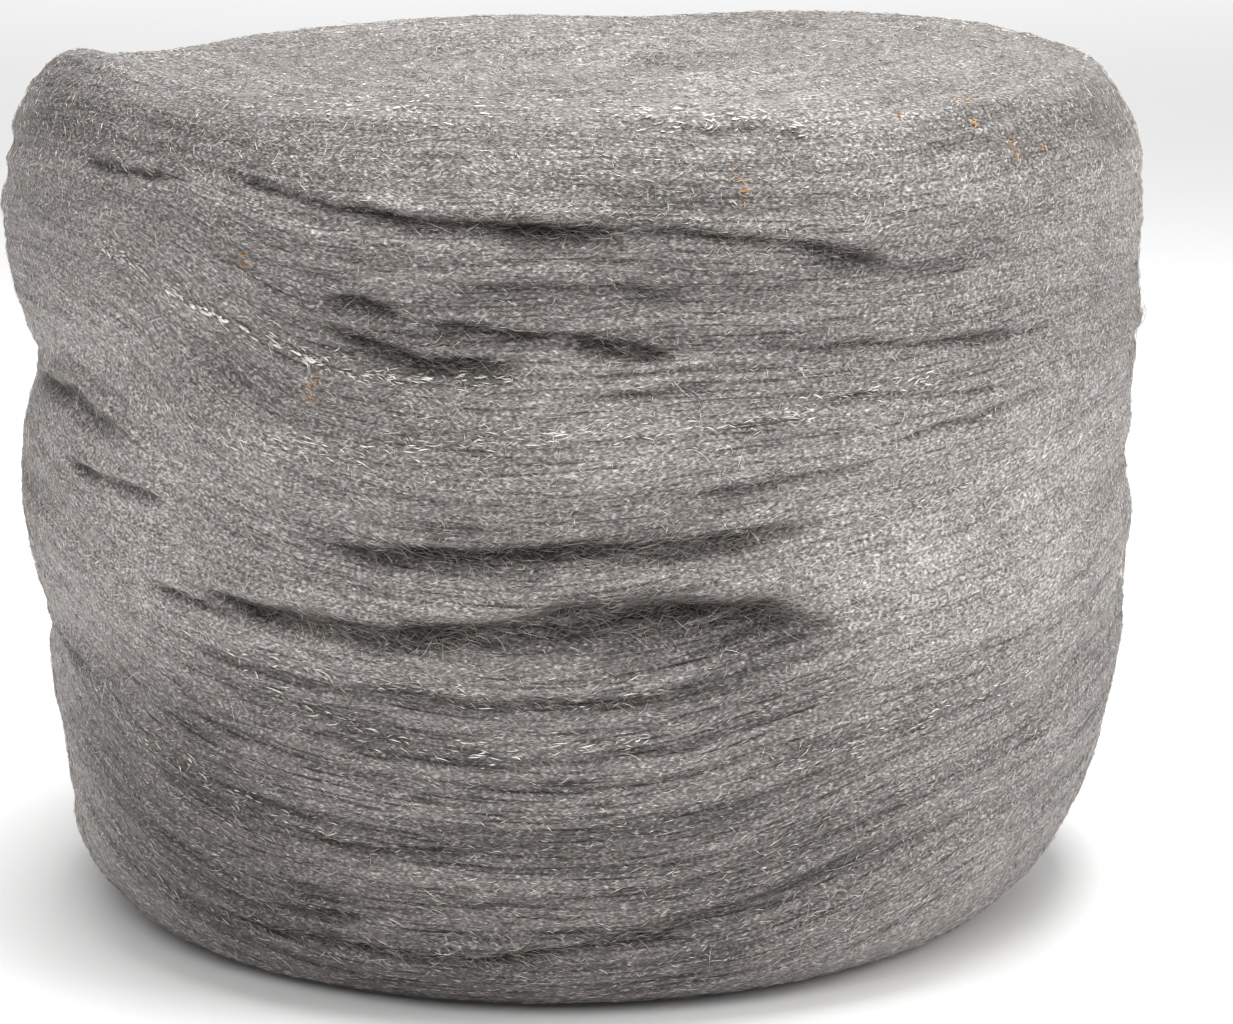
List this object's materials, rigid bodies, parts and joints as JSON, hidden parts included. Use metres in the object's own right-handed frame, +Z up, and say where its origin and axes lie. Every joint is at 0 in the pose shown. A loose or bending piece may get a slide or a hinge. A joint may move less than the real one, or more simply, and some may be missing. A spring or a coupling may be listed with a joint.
{
  "type": "steel wool reel",
  "caption": "Stout drum of wound steel wool ribbon, standing on its flat end, used for scouring, polishing and finishing.",
  "frame": {"origin": "middle of the flat face that the reel stands on", "axes": "+Z up along the winding axis; -Y towards the side with the most folds"},
  "size_m": [0.2766, 0.2752, 0.2095],
  "materials": {
    "steel_wool": "fine matted steel shavings, dull grey with fine bright glints"
  },
  "bodies": {
    "root": {"steel_wool_reel": "steel_wool"}
  },
  "joints": []
}
